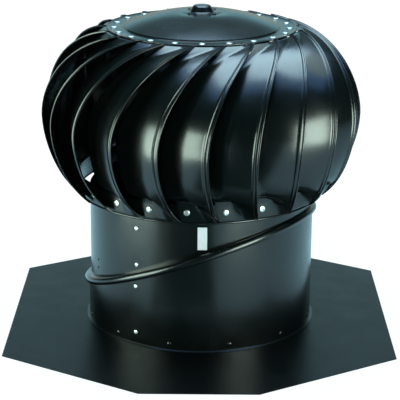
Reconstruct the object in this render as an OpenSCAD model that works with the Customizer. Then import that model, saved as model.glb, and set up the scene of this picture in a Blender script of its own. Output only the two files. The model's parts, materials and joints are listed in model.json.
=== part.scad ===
// Roof turbine ventilator: a wind-driven rotor on a swivelling throat above a roof flashing.
// Millimetres, +Z up, origin at the centre of the flashing's underside.

/* [Flashing] */
// Width of the flashing, left to right
flashing_w = 525; // [460:5:640]
// Depth of the flashing, front to back
flashing_d = 578; // [500:2:700]
// Length of its straight left and right edges
flashing_side_edge = 344; // [240:4:400]
// Length of its straight front and back edges
flashing_front_edge = 153; // [100:1:220]
// Thickness of the flashing sheet
flashing_t = 1; // [0.8:0.1:2]
// Height of the upturned collar, from the underside
collar_h = 16; // [15:1:17]

/* [Necks] */
// Radius of the open throat, for a nominal 12 inch duct
throat_r = 155; // [120:0.5:160]
// Thickness of the collar and neck sheet
neck_t = 0.8; // [0.6:0.1:1.2]
// Width of the foot flange that rests on the flashing
foot_flange_w = 4; // [2:0.5:8]
// How much smaller the upper neck's radius is than the lower neck's
neck_step = 2.6; // [1:0.1:4]
// Height of the upper neck's mouth
neck_top_z = 194; // [190:1:198]
// Direction of the rolled seam on both necks
seam_az = -123; // [-180:1:180]
// Width of the lapped strip of each seam
seam_w = 14; // [10:1:20]
// Rivet heights on the upper neck's seam
upper_seam_zs = [166.5, 115.5];
// Rivet heights on the lower neck's seam
lower_seam_zs = [85.5, 20];
// Direction of the two small drain holes in the upper neck
drain_az = -155; // [-170:1:-145]
// Heights of the drain holes
drain_zs = [99.7, 88.3];
// Radius of a drain hole
drain_r = 1.4; // [1:0.1:2]

/* [Swivel joint] */
// Slope of the swivel joint
joint_tilt = 20.5; // [18:0.25:22.5]
// Direction in which the joint slopes down
joint_az = 153; // [120:0.5:180]
// Height of the joint on the centre line
joint_z = 107; // [103:1:109]
// Radius of the rolled bead's section
bead_r = 5.6; // [4.8:0.1:6]
// How far the bead's centre line lies inside the neck's furthest reach
bead_inset = 1.9; // [0.8:0.1:2]
// Running gap between the two rolled edges
joint_gap = 0.3; // [0.25:0.05:0.4]
// How far the upper bead wraps under the lower one, in degrees
bead_wrap = 48; // [40:1:50]

/* [Label] */
// Direction of the blank label
label_az = -88.9; // [-100:0.1:-80]
// Width of the label
label_w = 12.5; // [8:0.5:20]
// Height of the label
label_h = 31; // [20:1:34]
// Gap between the swivel joint's ledge and the label's lower edge
label_gap = 3; // [1:0.5:5]
// Thickness of the label
label_t = 0.3; // [0.2:0.05:0.5]

/* [Brace and shaft] */
// Height of the brace's underside
brace_z = 187; // [184:0.5:188]
// Thickness of the brace
brace_t = 1.6; // [1.2:0.1:2]
// Width of a brace arm
brace_w = 20; // [16:1:26]
// Depth of the flanges along a brace arm
brace_flange = 6; // [4:0.5:8]
// Radius of the brace's centre plate
brace_hub_r = 30; // [24:1:40]
// Length of the tabs that hang down against the neck wall
brace_tab = 13; // [11:0.5:15]
// Radius of the shaft
shaft_r = 6; // [5:0.5:7]
// Radius of the shaft's upper seat
shaft_top_r = 5; // [4:0.5:5.5]
// Thickness of the shaft's nuts
nut_t = 5; // [4:0.5:6]
// Thickness of the washers
washer_t = 1.2; // [0.8:0.1:1.6]
// How far the shaft stands past its end nuts
shaft_end = 2.2; // [1:0.2:3]

/* [Bearings] */
// Width of both ball bearings
bearing_w = 8; // [7:0.5:9]
// Outer radius of the lower bearing
lower_bearing_r = 14; // [13:0.5:16]
// Outer radius of the upper bearing
upper_bearing_r = 13; // [12:0.5:15]
// Height of the lower bearing's underside
lower_bearing_z = 203; // [201:0.5:204]
// Number of balls in a bearing
ball_count = 8; // [6:1:8]
// Gap between balls and races
ball_gap = 0.05; // [0.03:0.01:0.08]

/* [Rotor] */
// Number of blades
blade_count = 21; // [21:1:21]
// Radius of the head at its widest
head_r = 218.5; // [205:0.5:235]
// Height of the ring's lower lip
ring_z = 187; // [186:0.5:189]
// Radius of the ring's lower wall
ring_r = 169; // [164:0.5:171]
// Height of the ring's straight wall
ring_wall_h = 2; // [1:0.5:4]
// Outward lean of the ring's band
flare_w = 1; // [0.5:0.5:3]
// Height of the ring's band
flare_h = 23; // [21:0.5:25]
// Radius of the ring's rolled lip
lip_r = 1.6; // [1:0.1:2]
// Thickness of the rotor's sheet parts
sheet_t = 0.8; // [0.6:0.1:1]
// Height of the rim's top above the ring's lip
head_h = 226; // [218:1:240]
// Height of the widest point above the ring's lip
widest_h = 110; // [102:1:116]
// Thickness of the spider
spider_t = 1.6; // [1.2:0.1:2]
// Width of a spider arm
spider_w = 20; // [16:1:24]

/* [Blades] */
// Thickness of a blade
blade_t = 0.8; // [0.6:0.1:1]
// Greatest depth of the opening behind a free edge
open_depth = 33; // [24:1:40]
// How far a blade's inner edge reaches behind its neighbour, as a share of its width
inner_lap = 0.3; // [0.1:0.05:0.4]
// Crown of a blade's section: 0 is a flat sheet and 1 a full quarter wave
crown = 0.2; // [0:0.05:0.6]
// Sweep of a blade's top past its middle, in degrees
top_sweep = 28; // [15:1:32]
// Sweep of a blade's foot past its middle, in degrees
foot_sweep = 6.2; // [0:0.2:10]
// Gap between one blade's inner edge and the next blade's free edge, in degrees
blade_gap = 0.14; // [0.1:0.02:0.6]
// Fullness of the head's profile
roundness = 0.9; // [0.85:0.05:1]
// How far the free edges stand above the rim
tip_rise = 2; // [1:0.5:6]
// How far the blades' highest line lies inside the rim
tip_inset = 10; // [6:0.5:12]
// How far the blade's lower end stands out from the ring wall
foot_stand = 3.4; // [2.6:0.2:6]
// Height of the stiffening bead beside the free edge
rib_h = 1.3; // [0.6:0.1:2]
// Direction of the first blade's free edge at the widest point
blade_az = -104.5; // [-180:0.5:180]

/* [Cap] */
// Outer radius of the cap's rim
rim_r = 128.5; // [124:0.5:134]
// Radius of the dome's foot
dome_r = 107; // [104:0.5:109]
// Thickness of the cap
cap_t = 1; // [0.8:0.1:1.2]
// Height of the dome above the rim
dome_h = 20; // [16:0.5:22]
// Height of the crisp step at the dome's foot
dome_step = 2.2; // [1:0.2:3]
// Radius of the flat seat at the dome's centre
seat_r = 34; // [31:0.5:40]
// Radius of the hub cover's base
boss_r = 15.4; // [14.6:0.1:17]
// Radius of the hub cover's top
boss_top_r = 9; // [8:0.5:10]
// Height of the hub cover
boss_h = 9.5; // [9.5:0.5:14]

/* [Rivets] */
// Radius of a rivet's shank
rivet_r = 1.6; // [1.2:0.1:2]
// Radius of the head of a neck or seat rivet
rivet_head_r = 3; // [2.6:0.1:3.4]
// Radius of the wide head of a rim or foot rivet
wide_head_r = 4.2; // [3:0.1:4.6]
// Height of a rivet's head
rivet_head_h = 1.4; // [1:0.1:2]
// Radial clearance of a rivet in its hole
rivet_gap = 0.1; // [0.05:0.05:0.2]
// Number of rivets round the collar
collar_rivet_count = 12; // [8:1:16]
// Height of the collar's rivets
collar_rivet_z = 11; // [9:0.5:12]
// Radius of the circle of rivets on the rim
rim_rivet_r = 119; // [117:0.5:121]
// Height of the foot rivets above the ring's straight wall
foot_rivet_h = 12.5; // [11.5:0.5:13]
// Radius of the circle of rivets on the cap's seat
seat_rivet_r = 23; // [22.5:0.5:26]

/* [Hidden] */
fit_gap = 0.1;          // between sheets that slip over each other
seat_gap = 0.1;         // between sheets pressed together by rivets
seat_play = 0.03;       // under a rivet's clenched end, on a curved wall
flush_tail_h = 0.6;     // clenched end of a rivet inside the throat, which a duct passes
arms = 3;
far = 400;

lower_r = throat_r + 2 * neck_t + fit_gap;
upper_r = lower_r - neck_step;
foot_z = flashing_t;
bead_rho = lower_r / cos(joint_tilt) - bead_inset;
curl_r = bead_r - neck_t - joint_gap;
ledge_z = joint_z - upper_r * tan(joint_tilt) * cos(label_az - joint_az) + bead_r / cos(joint_tilt);
label_z = ledge_z + label_w / 2 * tan(joint_tilt) + label_gap;

flare = atan(flare_w / flare_h);
flare_z = ring_z + ring_wall_h;
flare_top = [ring_r + flare_w, flare_z + flare_h];
flare_out = [cos(flare), -sin(flare)];
foot_rivet_z = flare_z + foot_rivet_h;
rim_z = ring_z + head_h;
seat_z = rim_z + dome_h;
under_rim_z = rim_z - cap_t - seat_gap;

housing_t = 1.2;
bearing_lip = 1.8;
housing_flange_r = seat_rivet_r + rivet_head_r + 2;
upper_bearing_z = seat_z - cap_t - housing_t - bearing_w;
shaft_bottom = brace_z - washer_t - nut_t - shaft_end;
shaft_top = upper_bearing_z + bearing_w + washer_t + nut_t + shaft_end;
nut_hub_r = shaft_top_r + 4;
nut_r = shaft_r + 4.4;
spider_z = lower_bearing_z + 3.5;

pitch = 360 / blade_count;
span = pitch - blade_gap;
foot_angle = 63;
top_angle = 80;
turn_angle = -8;
head_mid_z = ring_z + widest_h;
core_r = rim_r - tip_inset;
foot_r = ring_r + foot_stand;
low_half = (head_mid_z - flare_z + 0.7) / sin(foot_angle);
high_half = rim_z + tip_rise - head_mid_z;
low_reach = (head_r - foot_r) / pow(1 - cos(foot_angle), roundness);
foot_share = 0.45;
tab_share = 0.76;
rivet_share = 0.225;
tab_outer_r = rim_r + 2;
tab_inner_r = rim_rivet_r - 7;

enamel = "#181c1f";
satin_enamel = "#22282c";
bare_aluminium = "#c9ccce";
zinc = "#9fa3a6";
steel = "#8b8f93";

function blade_name(i) = str("blade_", i < 10 ? "0" : "", i);

// ---------- shared shapes ----------

function arc(centre, r, from, to, steps) =
    [for (i = [0:steps]) let (a = from + (to - from) * i / steps) centre + r * [cos(a), sin(a)]];

module at_joint() {
    translate([0, 0, joint_z]) rotate([0, 0, joint_az]) rotate([0, joint_tilt, 0]) children();
}

module above_joint(h) {
    at_joint() translate([-far, -far, h]) cube([2 * far, 2 * far, far]);
}

module below_joint(h) {
    at_joint() translate([-far, -far, h - far]) cube([2 * far, 2 * far, far]);
}

module tube(outer, inner, z0, z1) {
    difference() {
        translate([0, 0, z0]) cylinder(r = outer, h = z1 - z0, $fn = 120);
        translate([0, 0, z0 - 1]) cylinder(r = inner, h = z1 - z0 + 2, $fn = 120);
    }
}

// A rivet along +Z: its head sits on z = 0 and its clenched end under the grip
module rivet(grip, tail_h = rivet_head_h, head_r = rivet_head_r) {
    dome = [for (a = [0:22.5:90]) [head_r * cos(a), rivet_head_h * (0.25 + 0.75 * sin(a))]];
    rotate_extrude($fn = 32) polygon(concat([[0, -grip - seat_play - tail_h],
        [rivet_r + 0.6, -grip - seat_play - tail_h], [rivet_r + 0.9, -grip - seat_play],
        [rivet_r, -grip - seat_play], [rivet_r, 0], [head_r, 0]], dome));
}

module rivet_hole() {
    translate([0, 0, -5]) cylinder(r = rivet_r + rivet_gap, h = 10, $fn = 32);
}

// Places something on a standing wall of radius r, with +Z pointing out of the wall
module on_wall(r, az, z) {
    rotate([0, 0, az]) translate([r, 0, z]) rotate([0, 90, 0]) children();
}

// Places something on the ring's band, raised from it along its outward normal
module on_flare(az, raised) {
    foot = [ring_r + foot_rivet_h * tan(flare), foot_rivet_z] + raised * flare_out;
    rotate([0, 0, az]) translate([foot[0], 0, foot[1]]) rotate([0, 90 + flare, 0]) children();
}

module on_seat(i) {
    rotate([0, 0, 45 + 90 * i]) translate([seat_rivet_r, 0, 0]) children();
}

module hex_nut(bore, size) {
    difference() {
        cylinder(r = size, h = nut_t, $fn = 6);
        translate([0, 0, -1]) cylinder(r = bore, h = nut_t + 2, $fn = 48);
    }
}

module washer(bore, outer) {
    difference() {
        cylinder(r = outer, h = washer_t, $fn = 48);
        translate([0, 0, -1]) cylinder(r = bore, h = washer_t + 2, $fn = 48);
    }
}

// ---------- fixed base ----------

module flashing() {
    x = flashing_w / 2;
    y = flashing_d / 2;
    sx = flashing_front_edge / 2;
    sy = flashing_side_edge / 2;
    color(satin_enamel) difference() {
        union() {
            linear_extrude(flashing_t)
                polygon([[sx, -y], [x, -sy], [x, sy], [sx, y], [-sx, y], [-x, sy], [-x, -sy], [-sx, -y]]);
            cylinder(r = throat_r + neck_t, h = collar_h, $fn = 120);
        }
        translate([0, 0, -1]) cylinder(r = throat_r, h = collar_h + 2, $fn = 120);
        collar_rivet_places() rivet_hole();
    }
}

module collar_rivet_places() {
    for (i = [0:collar_rivet_count - 1])
        on_wall(lower_r, (i + 0.5) * 360 / collar_rivet_count, collar_rivet_z) children();
}

module collar_rivets() {
    color(enamel) collar_rivet_places() rivet(2 * neck_t + fit_gap, flush_tail_h);
}

module seam_places(r, zs) {
    for (z = zs) on_wall(r + neck_t, seam_az, z) children();
}

// Lapped strip outside a neck of radius r
module seam_strip(r, z0, z1) {
    w = seam_w / r * 180 / PI;
    rotate([0, 0, seam_az - w / 2]) rotate_extrude(angle = w, $fn = 120)
        translate([r - neck_t / 2, z0]) square([neck_t * 1.5, z1 - z0]);
}

// Lower neck: its curled edge is round in the plane of the joint, so the upper neck can turn on it
module lower_neck() {
    web = [[lower_r - 4, -curl_r], [bead_rho, -curl_r], [bead_rho, neck_t - curl_r], [lower_r - 4, neck_t - curl_r]];
    color(enamel) difference() {
        union() {
            difference() {
                union() {
                    intersection() {
                        union() {
                            translate([0, 0, foot_z]) cylinder(r = lower_r, h = far / 2, $fn = 120);
                            seam_strip(lower_r, foot_z + neck_t, far / 2);
                        }
                        below_joint(neck_t - curl_r);
                    }
                    translate([0, 0, foot_z]) cylinder(r = lower_r + foot_flange_w, h = neck_t, $fn = 120);
                    at_joint() rotate_extrude($fn = 120) polygon(web);
                }
                translate([0, 0, foot_z - 1]) cylinder(r = lower_r - neck_t, h = far / 2, $fn = 120);
            }
            at_joint() rotate_extrude($fn = 120) polygon(concat(
                arc([bead_rho, 0], curl_r, -90, 100, 16),
                arc([bead_rho, 0], curl_r - neck_t, 100, -90, 16)));
        }
        collar_rivet_places() rivet_hole();
        seam_places(lower_r, lower_seam_zs) rivet_hole();
    }
}

module lower_seam_rivets() {
    color(bare_aluminium) seam_places(lower_r, lower_seam_zs) rivet(2 * neck_t);
}

// ---------- swivelling upper section ----------

module upper_neck() {
    ledge = [[upper_r - 4, bead_r - neck_t], [bead_rho, bead_r - neck_t], [bead_rho, bead_r], [upper_r - 4, bead_r]];
    color(enamel) difference() {
        union() {
            difference() {
                union() {
                    intersection() {
                        union() {
                            cylinder(r = upper_r, h = neck_top_z, $fn = 120);
                            seam_strip(upper_r, 1, neck_top_z);
                        }
                        above_joint(bead_r - neck_t);
                    }
                    at_joint() rotate_extrude($fn = 120) polygon(ledge);
                }
                translate([0, 0, -1]) cylinder(r = upper_r - neck_t, h = far, $fn = 120);
            }
            at_joint() rotate_extrude($fn = 120) polygon(concat(
                arc([bead_rho, 0], bead_r, -bead_wrap, 90, 14),
                arc([bead_rho, 0], bead_r - neck_t, 90, -bead_wrap, 14)));
        }
        seam_places(upper_r, upper_seam_zs) rivet_hole();
        brace_places() rivet_hole();
        for (z = drain_zs)
            on_wall(upper_r, drain_az, z) translate([0, 0, -5]) cylinder(r = drain_r, h = 10, $fn = 24);
    }
}

module upper_seam_rivets() {
    color(bare_aluminium) seam_places(upper_r, upper_seam_zs) rivet(2 * neck_t);
}

module blank_label() {
    w = label_w / upper_r * 180 / PI;
    color("#e9efec") rotate([0, 0, label_az - w / 2]) rotate_extrude(angle = w, $fn = 120)
        translate([upper_r + fit_gap, label_z]) square([label_t, label_h]);
}

module brace_places() {
    for (i = [0:arms - 1])
        on_wall(upper_r, joint_az + 360 / arms * i, brace_z + brace_t - brace_tab / 2) children();
}

// Three channel arms from a centre plate to tabs against the neck wall
module throat_brace() {
    wall_r = upper_r - neck_t - fit_gap;
    arm_end = wall_r - brace_t - 2;
    color(enamel) difference() {
        union() {
            translate([0, 0, brace_z]) cylinder(r = brace_hub_r, h = brace_t, $fn = 64);
            intersection() {
                translate([0, 0, brace_z - far / 2]) cylinder(r = wall_r, h = far, $fn = 120);
                for (i = [0:arms - 1]) rotate([0, 0, joint_az + 360 / arms * i])
                    translate([0, -brace_w / 2, brace_z]) cube([far / 2, brace_w, brace_t]);
            }
            for (i = [0:arms - 1]) rotate([0, 0, joint_az + 360 / arms * i])
                for (side = [0, 1]) translate([brace_hub_r - 4, (side - 0.5) * brace_w - side * brace_t,
                    brace_z - brace_flange + brace_t])
                    cube([arm_end - brace_hub_r + 4, brace_t, brace_flange]);
            intersection() {
                tube(wall_r, wall_r - brace_t, brace_z + brace_t - brace_tab, brace_z + brace_t);
                for (i = [0:arms - 1]) rotate([0, 0, joint_az + 360 / arms * i])
                    translate([0, -brace_w / 2, 0]) cube([far / 2, brace_w, far]);
            }
        }
        cylinder(r = shaft_r + fit_gap, h = far, $fn = 48);
        brace_places() rivet_hole();
    }
}

module brace_rivets() {
    color(enamel) brace_places() rivet(neck_t + fit_gap + brace_t);
}

module fixed_shaft() {
    color(zinc) {
        translate([0, 0, shaft_bottom]) cylinder(r = shaft_r, h = upper_bearing_z - shaft_bottom, $fn = 48);
        translate([0, 0, upper_bearing_z]) cylinder(r = shaft_top_r, h = shaft_top - upper_bearing_z, $fn = 48);
    }
}

module shaft_nuts() {
    color(zinc) {
        translate([0, 0, brace_z - washer_t - nut_t]) hex_nut(shaft_r, nut_r);
        translate([0, 0, brace_z + brace_t + washer_t]) hex_nut(shaft_r, nut_r);
        translate([0, 0, shaft_top - shaft_end - nut_t]) hex_nut(shaft_top_r, nut_hub_r);
    }
}

module shaft_washers() {
    color(zinc) {
        translate([0, 0, brace_z - washer_t]) washer(shaft_r, nut_r + 1);
        translate([0, 0, brace_z + brace_t]) washer(shaft_r, nut_r + 1);
        translate([0, 0, upper_bearing_z + bearing_w]) washer(shaft_top_r, shaft_top_r + 2.4);
    }
}

module spacer_tube() {
    color(zinc) tube(shaft_r + 2, shaft_r, brace_z + brace_t + washer_t + nut_t, lower_bearing_z);
}

// ---------- ball bearings ----------

// Bearings are drawn standing on z = 0, from the bore radius to the outer radius
function ball_r(bore, outer) = 0.29 * (outer - bore);
function ball_circle(bore, outer) = (bore + outer) / 2;

module race_groove(bore, outer) {
    translate([0, 0, bearing_w / 2]) rotate_extrude($fn = 64)
        translate([ball_circle(bore, outer), 0]) circle(r = ball_r(bore, outer) + ball_gap, $fn = 32);
}

module inner_race(bore, outer) {
    color(steel) difference() {
        tube(ball_circle(bore, outer) - 0.65 * ball_r(bore, outer), bore, 0, bearing_w);
        race_groove(bore, outer);
    }
}

module outer_race(bore, outer) {
    color(steel) difference() {
        tube(outer, ball_circle(bore, outer) + 0.65 * ball_r(bore, outer), 0, bearing_w);
        race_groove(bore, outer);
    }
}

module ball_places(bore, outer) {
    for (i = [0:ball_count - 1]) rotate([0, 0, 360 / ball_count * i])
        translate([ball_circle(bore, outer), 0, bearing_w / 2]) children();
}

module ball_set(bore, outer) {
    color(steel) ball_places(bore, outer) sphere(r = ball_r(bore, outer), $fn = 32);
}

// Crown cage: a ring under the balls with open pockets
module ball_cage(bore, outer) {
    mid = ball_circle(bore, outer);
    color("#b8873b") difference() {
        tube(mid + 0.9, mid - 0.9, 0.4, bearing_w / 2 + 0.6);
        ball_places(bore, outer) sphere(r = ball_r(bore, outer) + ball_gap, $fn = 32);
    }
}

module lower_inner_race() { translate([0, 0, lower_bearing_z]) inner_race(shaft_r, lower_bearing_r); }
module upper_inner_race() { translate([0, 0, upper_bearing_z]) inner_race(shaft_top_r, upper_bearing_r); }
module lower_outer_race() { translate([0, 0, lower_bearing_z]) outer_race(shaft_r, lower_bearing_r); }
module upper_outer_race() { translate([0, 0, upper_bearing_z]) outer_race(shaft_top_r, upper_bearing_r); }
module lower_balls() { translate([0, 0, lower_bearing_z]) ball_set(shaft_r, lower_bearing_r); }
module upper_balls() { translate([0, 0, upper_bearing_z]) ball_set(shaft_top_r, upper_bearing_r); }
module lower_cage() { translate([0, 0, lower_bearing_z]) ball_cage(shaft_r, lower_bearing_r); }
module upper_cage() { translate([0, 0, upper_bearing_z]) ball_cage(shaft_top_r, upper_bearing_r); }

// ---------- rotor ----------

function dome_line(drop) = [for (i = [0:12]) let (u = i / 12, edge = dome_r - 1.5)
    [seat_r + (edge - seat_r) * u, seat_z - drop - (dome_h - dome_step) * pow(u, 1.6)]];

// Spun dome with a crisp foot, a flat rim and a rolled edge
module cap() {
    hole_r = boss_r - 2.5;
    edge_r = 0.9 * cap_t;
    edge = [rim_r - edge_r / 2, rim_z - cap_t + edge_r];
    upper_line = concat([[hole_r, seat_z]], dome_line(0), [[dome_r, rim_z], [edge[0] - edge_r, rim_z]],
        arc(edge, edge_r, 165, -90, 9));
    lower_line = concat([[hole_r, seat_z - cap_t]], dome_line(cap_t), [[dome_r - 0.8 * cap_t, rim_z - cap_t]]);
    flipped = [for (i = [len(lower_line) - 1:-1:0]) lower_line[i]];
    color(enamel) difference() {
        rotate_extrude($fn = 120) polygon(concat(upper_line, flipped));
        rim_rivet_places() rivet_hole();
        for (i = [0:3]) translate([0, 0, seat_z]) on_seat(i) rivet_hole();
    }
}

module rim_rivet_places() {
    for (i = [1:blade_count]) rotate([0, 0, tab_az(i)]) translate([rim_rivet_r, 0, rim_z]) children();
}

module rim_rivets() {
    color(bare_aluminium) rim_rivet_places() rivet(cap_t + seat_gap + blade_t, head_r = wide_head_r);
}

// Pressed cup over the end of the shaft, with a flange on the cap's seat
module hub_cover() {
    flange_r = housing_flange_r - 1;
    round_r = 2.4;
    top_z = seat_z + boss_h;
    color(enamel) difference() {
        rotate_extrude($fn = 96) polygon(concat(
            [[flange_r, seat_z], [flange_r, seat_z + sheet_t], [boss_r + 1.2, seat_z + sheet_t],
             [boss_r, seat_z + sheet_t + 1.4]],
            arc([boss_top_r, top_z - round_r], round_r, 20, 90, 4),
            [[0, top_z], [0, top_z - sheet_t]],
            arc([boss_top_r, top_z - round_r], round_r - sheet_t, 90, 20, 4),
            [[boss_r - sheet_t, seat_z + sheet_t + 1.4], [boss_r - sheet_t, seat_z]]));
        for (i = [0:3]) translate([0, 0, seat_z + sheet_t]) on_seat(i) rivet_hole();
    }
}

// Pressed cup that holds the upper bearing's outer race under the cap
module bearing_housing() {
    top = seat_z - cap_t;
    bottom = upper_bearing_z - housing_t;
    race_r = upper_bearing_r;
    lip = race_r - bearing_lip;
    color(zinc) difference() {
        rotate_extrude($fn = 96) polygon([[nut_hub_r + 1.4, top], [housing_flange_r, top],
            [housing_flange_r, top - housing_t], [race_r + housing_t, top - housing_t],
            [race_r + housing_t, bottom], [lip, bottom], [lip, upper_bearing_z],
            [race_r, upper_bearing_z], [race_r, top - housing_t], [nut_hub_r + 1.4, top - housing_t]]);
        for (i = [0:3]) translate([0, 0, top]) on_seat(i) rivet_hole();
    }
}

module seat_rivets() {
    color(bare_aluminium) for (i = [0:3])
        translate([0, 0, seat_z + sheet_t]) on_seat(i) rivet(sheet_t + cap_t + housing_t);
}

// Bottom ring: the blades' feet are riveted to its band
module rotor_ring() {
    shift = sheet_t * tan(flare / 2);
    inside_top = flare_top - sheet_t * flare_out;
    color(enamel) difference() {
        rotate_extrude($fn = 120) {
            polygon([[ring_r, ring_z], [ring_r, flare_z], flare_top, inside_top,
                [ring_r - sheet_t, flare_z + shift], [ring_r - sheet_t, ring_z]]);
            translate([ring_r - 0.2, ring_z]) circle(r = lip_r, $fn = 32);
        }
        for (i = [1:blade_count]) on_flare(foot_az(i), 0) rivet_hole();
    }
}

// Solid cone that just fits inside the ring's band, moved in by a depth
module inside_flare(depth) {
    low = [ring_r, flare_z] - depth * flare_out;
    high = flare_top - depth * flare_out;
    rotate_extrude($fn = 120) polygon([[0, low[1]], low, high, [0, high[1]]]);
}

// Three arms that carry the lower bearing, with tabs riveted inside the ring
module rotor_spider() {
    reach = sheet_t + seat_gap;
    color(enamel) difference() {
        union() {
            translate([0, 0, spider_z]) cylinder(r = 2.1 * lower_bearing_r, h = spider_t, $fn = 64);
            translate([0, 0, lower_bearing_z - 1]) cylinder(r = lower_bearing_r + 2, h = bearing_w + 2, $fn = 64);
            intersection() {
                inside_flare(reach);
                spider_arms(spider_z, spider_t);
            }
            intersection() {
                difference() {
                    inside_flare(reach);
                    inside_flare(reach + spider_t);
                }
                spider_arms(flare_z + 7, far);
                translate([-far, -far, 0]) cube([2 * far, 2 * far, spider_z + spider_t]);
            }
        }
        translate([0, 0, lower_bearing_z - 2]) cylinder(r = lower_bearing_r, h = bearing_w + 2, $fn = 64);
        cylinder(r = lower_bearing_r - bearing_lip, h = far, $fn = 64);
        for (i = [0:arms - 1]) on_flare(foot_az(1 + i * blade_count / arms), 0) rivet_hole();
    }
}

module spider_arms(z, h) {
    for (i = [0:arms - 1]) rotate([0, 0, foot_az(1 + i * blade_count / arms)])
        translate([lower_bearing_r + 1, -spider_w / 2, z]) cube([far / 2, spider_w, h]);
}

module foot_rivets() {
    per_arm = blade_count / arms;
    blade_face = seat_gap + blade_t + 0.03;
    color(bare_aluminium) for (i = [1:blade_count]) {
        on_arm = (i - 1) % per_arm == 0;
        on_flare(foot_az(i), blade_face)
            rivet(blade_face + sheet_t + (on_arm ? seat_gap + spider_t : 0), head_r = wide_head_r);
    }
}

// ---------- blades ----------

// The free edges lie on a surface of revolution: angle a runs from the foot (below 0) to the rim
function reach(a) = a < 0 ? low_reach : head_r - core_r;
function half(a) = a < 0 ? low_half : high_half;
function edge_point(a) = [head_r - reach(a) * pow(1 - cos(a), roundness), head_mid_z + half(a) * sin(a)];
function edge_out(a) = let (v = [half(a) * cos(a),
    reach(a) * sin(a) * roundness * pow(1 - cos(a), roundness - 1)]) v / norm(v);
function sweep(a) = a > turn_angle
    ? top_sweep * pow((a - turn_angle) / (top_angle - turn_angle), 2)
    : foot_sweep * pow((a - turn_angle) / (foot_angle + turn_angle), 2);

// Depth of a blade's inner edge: on the ring at the foot, under the rim at the top, open between
function foot_depth(a) = ((edge_point(a) - flare_top) * flare_out - seat_gap - blade_t)
    / (edge_out(a) * flare_out);
function mid_depth(a) = open_depth * pow(1 - pow(a / (a < 0 ? foot_angle + 3 : top_angle + 6), 2), 1.3);
function tuck_depth(a) = (edge_point(a)[1] - under_rim_z) / edge_out(a)[1];

// Rows up the blade: angle, depth of the inner edge, share of the width that lies flat
function blade_rows() = concat(
    [for (a = [-foot_angle, 6 - foot_angle, 12 - foot_angle]) [a, foot_depth(a), foot_share, 0]],
    [for (a = [-42, -27, -10, 8, 26, 43, 58, 70]) [a, mid_depth(a), a < -40 ? 0.2 : a > 60 ? 0.2 : 0,
        mid_depth(a) / open_depth]],
    [[top_angle, tuck_depth(top_angle), tab_share, 0]]);

// Columns across the blade from inner edge to free edge: share of the width, height of bead or hem
outer_cols = [[0, 0], [0.12, 0], [0.25, 0], [0.45, 0], [0.65, 0], [0.84, 0], [0.87, 0.2], [0.895, 1], [0.92, 0.2],
    [0.955, 0.1], [0.98, 0.9], [1, 0.5]];
inner_cols = [[1, 0], [0.84, 0], [0.65, 0], [0.45, 0], [0.25, 0], [0.12, 0], [0, 0]];

function polar(rz, az) = [rz[0] * cos(az), rz[0] * sin(az), rz[1]];
function rise(s, flat) = let (t = max(0, (s - flat) / (1 - flat))) 1 - crown * sin(90 * t) - (1 - crown) * t;
function lap(s, e) = s < 0.25 ? s - e * inner_lap * (1 - s / 0.25) : s;
function row_point(row, col, lift) = let (s = lap(col[0], row[3])) polar(
    edge_point(row[0]) - (row[1] * rise(s, row[2]) - lift) * edge_out(row[0]),
    sweep(row[0]) - span * (1 - s));
function tab_point(r, col, drop) = polar([r, under_rim_z - drop],
    sweep(top_angle) - span * (1 - tab_share * col[0]));

function blade_points() = concat(
    [for (row = blade_rows()) each concat(
        [for (c = outer_cols) row_point(row, c, rib_h * c[1])],
        [for (c = inner_cols) row_point(row, c, -blade_t)])],
    [for (r = [tab_outer_r, tab_inner_r]) each concat(
        [for (c = outer_cols) tab_point(r, c, 0)],
        [for (c = inner_cols) tab_point(r, c, blade_t)])]);

module blade_sheet() {
    points = blade_points();
    m = len(outer_cols) + len(inner_cols);
    rows = len(points) / m;
    sides = [for (i = [0:rows - 2], j = [0:m - 1]) let (k = (j + 1) % m,
        a = i * m + j, b = i * m + k, c = (i + 1) * m + k, d = (i + 1) * m + j)
        each [[a, d, c], [a, c, b]]];
    ends = [[for (j = [0:m - 1]) j], [for (j = [m - 1:-1:0]) (rows - 1) * m + j]];
    polyhedron(points = points, faces = concat(sides, ends), convexity = 6);
}

function edge_az(i) = blade_az + pitch * (i - 1);
function foot_az(i) = edge_az(i) + sweep(8 - foot_angle) - span * (1 - rivet_share);
function tab_az(i) = edge_az(i) + sweep(top_angle) - span * (1 - rivet_share);

// One blade: hemmed free edge, bead beside it, foot on the ring and tab under the rim
module blade(i) {
    color(enamel) difference() {
        rotate([0, 0, edge_az(i)]) blade_sheet();
        on_flare(foot_az(i), 0) rivet_hole();
        rotate([0, 0, tab_az(i)]) translate([rim_rivet_r, 0, rim_z]) rivet_hole();
    }
}

flashing();
lower_neck();
collar_rivets();
lower_seam_rivets();
upper_neck();
upper_seam_rivets();
blank_label();
throat_brace();
brace_rivets();
fixed_shaft();
shaft_nuts();
shaft_washers();
spacer_tube();
lower_inner_race();
upper_inner_race();
lower_balls();
upper_balls();
lower_cage();
upper_cage();
lower_outer_race();
upper_outer_race();
cap();
hub_cover();
bearing_housing();
seat_rivets();
rotor_spider();
rotor_ring();
rim_rivets();
foot_rivets();
for (i = [1:blade_count])
    blade(i);
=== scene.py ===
import json
import math

import bmesh
import bpy
from mathutils import Matrix, Vector


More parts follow.
